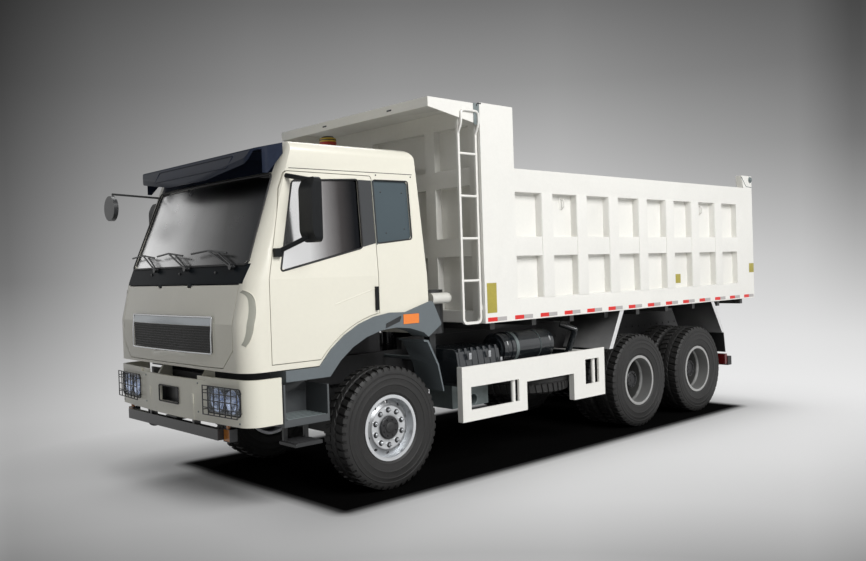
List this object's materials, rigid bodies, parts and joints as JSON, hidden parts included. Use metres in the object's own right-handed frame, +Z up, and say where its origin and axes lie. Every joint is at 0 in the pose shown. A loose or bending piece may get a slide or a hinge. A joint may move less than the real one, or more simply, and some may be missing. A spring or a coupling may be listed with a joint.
{
  "type": "dump truck",
  "caption": "Heavy dump truck with a tilting cab, opening doors and front panel, steered wheels, twin rear wheels and a ribbed tipping body with a front hoist and hinged tailgate.",
  "frame": {"origin": "on the ground, midway between the bumper face and the rear end of the body, on the centre plane", "axes": "+Z up, the front faces -Y, +X is the truck's own left side"},
  "size_m": [2.98, 8.3537, 3.6248],
  "materials": {
    "cab_paint": "gloss ivory paint",
    "body_paint": "gloss white paint",
    "slate_paint": "satin slate grey",
    "frame_paint": "satin black chassis paint",
    "tyre": "black tyre",
    "rim_paint": "silver paint",
    "lamp_glass": "clear lamp lens",
    "amber_plastic": "amber lens",
    "window_glass": "tinted glass",
    "black_band": "gloss black",
    "visor_plastic": "smoked gloss",
    "dark_plastic": "matt black",
    "trim_plastic": "textured grey",
    "seat_fabric": "woven",
    "tank_paint": "gloss black paint",
    "hoist_steel": "ground steel"
  },
  "bodies": {
    "chassis": {"frame": "frame_paint", "front_axle": "frame_paint", "rear_axles": "frame_paint", "engine": "frame_paint", "bumper": "cab_paint", "headlamps": "lamp_glass", "lamp_guards": "dark_plastic", "marker_lamps": "amber_plastic", "cab_steps": "slate_paint", "front_mudguards": "dark_plastic", "side_guards": "body_paint", "battery_box": "tank_paint", "air_tank": "tank_paint", "fuel_tank": "tank_paint", "silencer": "frame_paint", "spare_wheel": "tyre", "air_cleaner": "dark_plastic"},
    "cab": {"cab_shell": "cab_paint", "cowl": "black_band", "cab_glass": "window_glass", "sun_visor": "visor_plastic", "dashboard": "trim_plastic", "seats": "seat_fabric", "cab_fenders": "slate_paint", "side_lamps": "amber_plastic", "round_mirror": "dark_plastic", "wipers": "dark_plastic"},
    "front_flap": {"front_flap": "cab_paint"},
    "door_left": {"door_left": "cab_paint", "door_glass_left": "window_glass", "door_fittings_left": "dark_plastic"},
    "door_right": {"door_right": "cab_paint", "door_glass_right": "window_glass", "door_fittings_right": "dark_plastic"},
    "knuckle_left": {"knuckle_left": "frame_paint"},
    "knuckle_right": {"knuckle_right": "frame_paint"},
    "bed": {"bed_floor": "body_paint", "bed_side_left": "body_paint", "bed_side_right": "body_paint", "headboard": "body_paint", "canopy": "body_paint", "ladder": "body_paint", "bed_mudguards": "slate_paint"},
    "tailgate": {"tailgate": "body_paint"},
    "hoist_cover": {"hoist_cover": "frame_paint"},
    "hoist_stage_1": {"hoist_stage_1": "hoist_steel"},
    "hoist_stage_2": {"hoist_stage_2": "hoist_steel"},
    "hoist_stage_3": {"hoist_stage_3": "hoist_steel"},
    "front_wheel_left": {"front_tyre_left": "tyre", "front_rim_left": "rim_paint"},
    "rear_wheels_1_left": {"rear_tyres_1_left": "tyre", "rear_rims_1_left": "rim_paint"},
    "rear_wheels_2_left": {"rear_tyres_2_left": "tyre", "rear_rims_2_left": "rim_paint"},
    "front_wheel_right": {"front_tyre_right": "tyre", "front_rim_right": "rim_paint"},
    "rear_wheels_1_right": {"rear_tyres_1_right": "tyre", "rear_rims_1_right": "rim_paint"},
    "rear_wheels_2_right": {"rear_tyres_2_right": "tyre", "rear_rims_2_right": "rim_paint"}
  },
  "joints": [
    {"name": "steer_left", "type": "hinge", "parent": "chassis", "child": "knuckle_left", "pos_m": [0.82, -2.5775, 0.562], "axis": [0, 0, 1], "range_deg": [-35, 35]},
    {"name": "front_wheel_left_spin", "type": "hinge", "parent": "knuckle_left", "child": "front_wheel_left", "pos_m": [1.003, -2.5775, 0.562], "axis": [1, 0, 0], "continuous": true},
    {"name": "steer_right", "type": "hinge", "parent": "chassis", "child": "knuckle_right", "pos_m": [-0.82, -2.5775, 0.562], "axis": [0, 0, 1], "range_deg": [-35, 35]},
    {"name": "front_wheel_right_spin", "type": "hinge", "parent": "knuckle_right", "child": "front_wheel_right", "pos_m": [-1.003, -2.5775, 0.562], "axis": [1, 0, 0], "continuous": true},
    {"name": "rear_wheels_1_left_spin", "type": "hinge", "parent": "chassis", "child": "rear_wheels_1_left", "pos_m": [0.878, 1.3225, 0.562], "axis": [1, 0, 0], "continuous": true},
    {"name": "rear_wheels_1_right_spin", "type": "hinge", "parent": "chassis", "child": "rear_wheels_1_right", "pos_m": [-0.878, 1.3225, 0.562], "axis": [1, 0, 0], "continuous": true},
    {"name": "rear_wheels_2_left_spin", "type": "hinge", "parent": "chassis", "child": "rear_wheels_2_left", "pos_m": [0.878, 2.6725, 0.562], "axis": [1, 0, 0], "continuous": true},
    {"name": "rear_wheels_2_right_spin", "type": "hinge", "parent": "chassis", "child": "rear_wheels_2_right", "pos_m": [-0.878, 2.6725, 0.562], "axis": [1, 0, 0], "continuous": true},
    {"name": "cab_tilt", "type": "hinge", "parent": "chassis", "child": "cab", "pos_m": [0, -4.0375, 1.05], "axis": [1, 0, 0], "range_deg": [0, 45]},
    {"name": "door_left_swing", "type": "hinge", "parent": "cab", "child": "door_left", "pos_m": [1.225, -3.8585, 1.9], "axis": [0, 0, -1], "range_deg": [0, 70]},
    {"name": "door_right_swing", "type": "hinge", "parent": "cab", "child": "door_right", "pos_m": [-1.225, -3.8585, 1.9], "axis": [0, 0, 1], "range_deg": [0, 70]},
    {"name": "front_flap_lift", "type": "hinge", "parent": "cab", "child": "front_flap", "pos_m": [0, -4.0675, 1.909], "axis": [-1, 0, 0], "range_deg": [0, 60]},
    {"name": "bed_tilt", "type": "hinge", "parent": "chassis", "child": "bed", "pos_m": [0, 3.7125, 1.21], "axis": [-1, 0, 0], "range_deg": [0, 45]},
    {"name": "tailgate_swing", "type": "hinge", "parent": "bed", "child": "tailgate", "pos_m": [0, 4.0125, 3.11], "axis": [1, 0, 0], "range_deg": [0, 60]},
    {"name": "hoist_swing", "type": "hinge", "parent": "bed", "child": "hoist_cover", "pos_m": [0, -1.6475, 1.62], "axis": [1, 0, 0], "range_deg": [0, 21.9]},
    {"name": "hoist_slide_1", "type": "slide", "parent": "hoist_cover", "child": "hoist_stage_1", "axis": [0, 0, -1], "range_m": [0, 1.352]},
    {"name": "hoist_slide_2", "type": "slide", "parent": "hoist_stage_1", "child": "hoist_stage_2", "axis": [0, 0, -1], "range_m": [0, 1.352]},
    {"name": "hoist_slide_3", "type": "slide", "parent": "hoist_stage_2", "child": "hoist_stage_3", "axis": [0, 0, -1], "range_m": [0, 1.352]}
  ],
  "couplings": [
    {"joint": "steer_right", "follows": "steer_left", "ratio": 1},
    {"joint": "hoist_swing", "follows": "bed_tilt", "ratio": 0.48346},
    {"joint": "hoist_slide_1", "follows": "bed_tilt", "m_per_rad": 1.7199},
    {"joint": "hoist_slide_2", "follows": "bed_tilt", "m_per_rad": 1.7199},
    {"joint": "hoist_slide_3", "follows": "bed_tilt", "m_per_rad": 1.7199}
  ]
}
